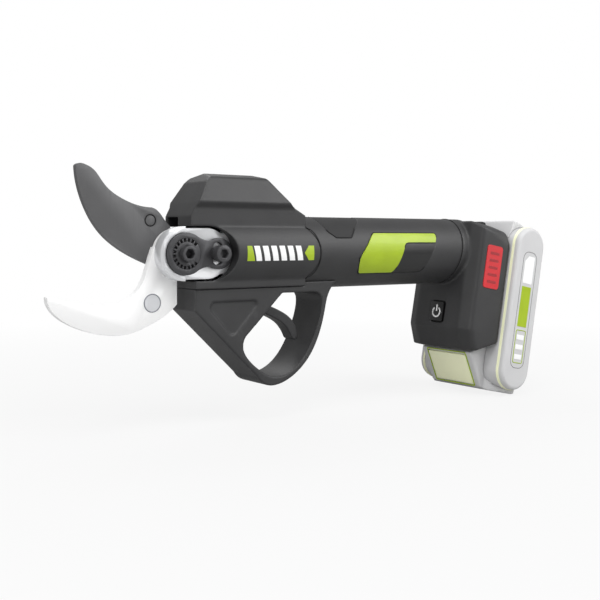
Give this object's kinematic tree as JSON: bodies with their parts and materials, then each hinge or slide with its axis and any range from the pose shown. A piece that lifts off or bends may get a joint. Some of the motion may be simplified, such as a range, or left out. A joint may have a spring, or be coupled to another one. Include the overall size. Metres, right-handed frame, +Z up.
{
  "type": "battery electric pruner",
  "caption": "One-hand cordless pruner: fixed hook and pivoting bypass blade, round barrel handle, finger loop with trigger, tilted foot with slide-on battery.",
  "frame": {"origin": "middle of the overall length and width, at the level of the battery's lowest edge", "axes": "+X from the blades back to the battery along the barrel, +Y across from the hook side to the blade side, +Z up"},
  "size_m": [0.3092, 0.073, 0.1326],
  "materials": {
    "blade_coating": "satin dark grey non-stick coating",
    "hook_steel": "bright satin steel",
    "head_metal": "bright machined casting",
    "steel": "ground steel",
    "dark_steel": "black oxide",
    "gear_steel": "hardened gear steel",
    "bronze": "oiled bronze",
    "housing_plastic": "fine moulded texture",
    "lime_plastic": "lime green",
    "gloss_black": "black gloss",
    "grip_rubber": "soft overmould",
    "pack_grey": "light grey",
    "pack_lime": "pale lime",
    "motor_metal": "zinc plated can",
    "copper": "enamelled winding",
    "magnet": "nickel plated magnets",
    "board_green": "circuit board",
    "cell_wrap": "cell sleeve",
    "contact": "plated contact"
  },
  "bodies": {
    "tool_body": {"fixed_hook_blade": "hook_steel", "head_frame": "head_metal", "dowel_pins": "steel", "pivot_bolt": "dark_steel", "toothed_nut": "dark_steel", "lock_plate": "dark_steel", "lock_washer": "dark_steel", "lock_screw": "dark_steel", "output_bearing": "steel", "ring_gear": "gear_steel", "motor_can": "motor_metal", "motor_end_cap": "motor_metal", "motor_stator": "motor_metal", "motor_windings": "copper", "motor_bearings": "steel", "gear_housing_left": "housing_plastic", "gear_housing_right": "housing_plastic", "trigger_guard_left": "housing_plastic", "trigger_guard_right": "housing_plastic", "handle_shell_left": "housing_plastic", "handle_shell_right": "housing_plastic", "foot_shell_left": "housing_plastic", "foot_shell_right": "housing_plastic", "housing_screws": "dark_steel", "lime_inlays": "lime_plastic", "grip_panels": "gloss_black", "thumb_pad": "grip_rubber", "battery_dock": "housing_plastic", "dock_terminals": "contact", "display_lens": "gloss_black", "trigger_spring": "steel", "micro_switches": "gloss_black", "control_board": "board_green", "board_parts": "motor_metal"},
    "cutting_blade": {"moving_blade": "blade_coating", "blade_plug": "blade_coating", "pivot_bush": "bronze", "bevel_sector": "gear_steel", "sector_pins": "steel"},
    "output_shaft": {"bevel_pinion": "gear_steel", "output_carrier": "gear_steel"},
    "middle_stage": {"output_sun": "gear_steel", "input_carrier": "gear_steel"},
    "rotor": {"motor_shaft": "steel", "rotor_magnets": "magnet", "motor_pinion": "gear_steel"},
    "trigger_lever": {"trigger": "housing_plastic"},
    "power_key": {"power_button": "gloss_black"},
    "battery": {"battery_rear_case": "pack_grey", "battery_front_case": "pack_grey", "battery_rims": "pack_lime", "battery_caps": "pack_grey", "battery_cells": "cell_wrap"},
    "battery_release": {"release_button": "pack_lime"},
    "output_planet_1": {"output_planet_1": "gear_steel"},
    "output_planet_2": {"output_planet_2": "gear_steel"},
    "output_planet_3": {"output_planet_3": "gear_steel"},
    "input_planet_1": {"input_planet_1": "gear_steel"},
    "input_planet_2": {"input_planet_2": "gear_steel"},
    "input_planet_3": {"input_planet_3": "gear_steel"}
  },
  "joints": [
    {"name": "blade_pivot", "type": "hinge", "parent": "tool_body", "child": "cutting_blade", "pos_m": [-0.08692, 0, 0.08873], "axis": [0, -1, 0], "range_deg": [0, 50]},
    {"name": "output_spin", "type": "hinge", "parent": "tool_body", "child": "output_shaft", "pos_m": [-0.04692, 0, 0.08873], "axis": [1, 0, 0], "range_deg": [-5, 240]},
    {"name": "middle_spin", "type": "hinge", "parent": "tool_body", "child": "middle_stage", "pos_m": [-0.02892, 0, 0.08873], "axis": [1, 0, 0], "range_deg": [-10, 1410]},
    {"name": "rotor_spin", "type": "hinge", "parent": "tool_body", "child": "rotor", "pos_m": [0.00808, 0, 0.08873], "axis": [1, 0, 0], "range_deg": [-60, 8460]},
    {"name": "trigger_pull", "type": "hinge", "parent": "tool_body", "child": "trigger_lever", "pos_m": [-0.04592, 0, 0.06073], "axis": [0, -1, 0], "range_deg": [0, 15], "stiffness_Nm_per_rad": 0.3, "springref_deg": -14.32},
    {"name": "power_key_press", "type": "slide", "parent": "tool_body", "child": "power_key", "axis": [0.9816, 0, -0.1908], "range_m": [0, 0.001], "stiffness_N_per_m": 800, "springref_m": -0.001},
    {"name": "battery_slide", "type": "slide", "parent": "tool_body", "child": "battery", "axis": [-0.1908, 0, -0.9816], "range_m": [0, 0.06]},
    {"name": "release_press", "type": "slide", "parent": "battery", "child": "battery_release", "axis": [0.9253, 0, 0.3793], "range_m": [0, 0.002], "stiffness_N_per_m": 800, "springref_m": -0.001},
    {"name": "output_planet_1_spin", "type": "hinge", "parent": "output_shaft", "child": "output_planet_1", "pos_m": [-0.03252, 0.009, 0.08873], "axis": [1, 0, 0], "range_deg": [-600, 10]},
    {"name": "output_planet_2_spin", "type": "hinge", "parent": "output_shaft", "child": "output_planet_2", "pos_m": [-0.03252, -0.0045, 0.09652], "axis": [1, 0, 0], "range_deg": [-600, 10]},
    {"name": "output_planet_3_spin", "type": "hinge", "parent": "output_shaft", "child": "output_planet_3", "pos_m": [-0.03252, -0.0045, 0.08094], "axis": [1, 0, 0], "range_deg": [-600, 10]},
    {"name": "input_planet_1_spin", "type": "hinge", "parent": "middle_stage", "child": "input_planet_1", "pos_m": [-0.02252, 0.009, 0.08873], "axis": [1, 0, 0], "range_deg": [-3520, 10]},
    {"name": "input_planet_2_spin", "type": "hinge", "parent": "middle_stage", "child": "input_planet_2", "pos_m": [-0.02252, -0.0045, 0.09652], "axis": [1, 0, 0], "range_deg": [-3520, 10]},
    {"name": "input_planet_3_spin", "type": "hinge", "parent": "middle_stage", "child": "input_planet_3", "pos_m": [-0.02252, -0.0045, 0.08094], "axis": [1, 0, 0], "range_deg": [-3520, 10]}
  ],
  "couplings": [
    {"joint": "output_spin", "follows": "blade_pivot", "ratio": 4.6667},
    {"joint": "middle_spin", "follows": "blade_pivot", "ratio": 28},
    {"joint": "rotor_spin", "follows": "blade_pivot", "ratio": 168},
    {"joint": "output_planet_1_spin", "follows": "blade_pivot", "ratio": -11.667},
    {"joint": "output_planet_2_spin", "follows": "blade_pivot", "ratio": -11.667},
    {"joint": "output_planet_3_spin", "follows": "blade_pivot", "ratio": -11.667},
    {"joint": "input_planet_1_spin", "follows": "blade_pivot", "ratio": -70},
    {"joint": "input_planet_2_spin", "follows": "blade_pivot", "ratio": -70},
    {"joint": "input_planet_3_spin", "follows": "blade_pivot", "ratio": -70}
  ]
}
